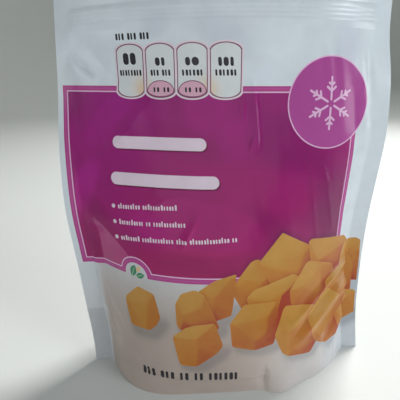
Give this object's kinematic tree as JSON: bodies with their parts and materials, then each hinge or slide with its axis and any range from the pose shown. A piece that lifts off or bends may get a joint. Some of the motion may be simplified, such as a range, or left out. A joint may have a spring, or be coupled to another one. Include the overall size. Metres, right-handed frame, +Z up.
{
  "type": "stand-up pouch of frozen fruit",
  "caption": "Sealed stand-up film pouch with side seals, a press-to-close zip and an opened bottom gusset, filled with frozen fruit pieces and leaning slightly back.",
  "frame": {"origin": "middle of the bounding box's underside, on the surface the pouch stands on", "axes": "+Z up, +X along the bottom hem towards the right-hand side seal as seen from the front, -Y out of the front wall"},
  "size_m": [0.1854, 0.0884, 0.2309],
  "materials": {
    "pouch_film": "glossy white laminate film with a printed magenta field, creased along the side seals and over the contents"
  },
  "bodies": {
    "root": {"pouch": "pouch_film"}
  },
  "joints": []
}
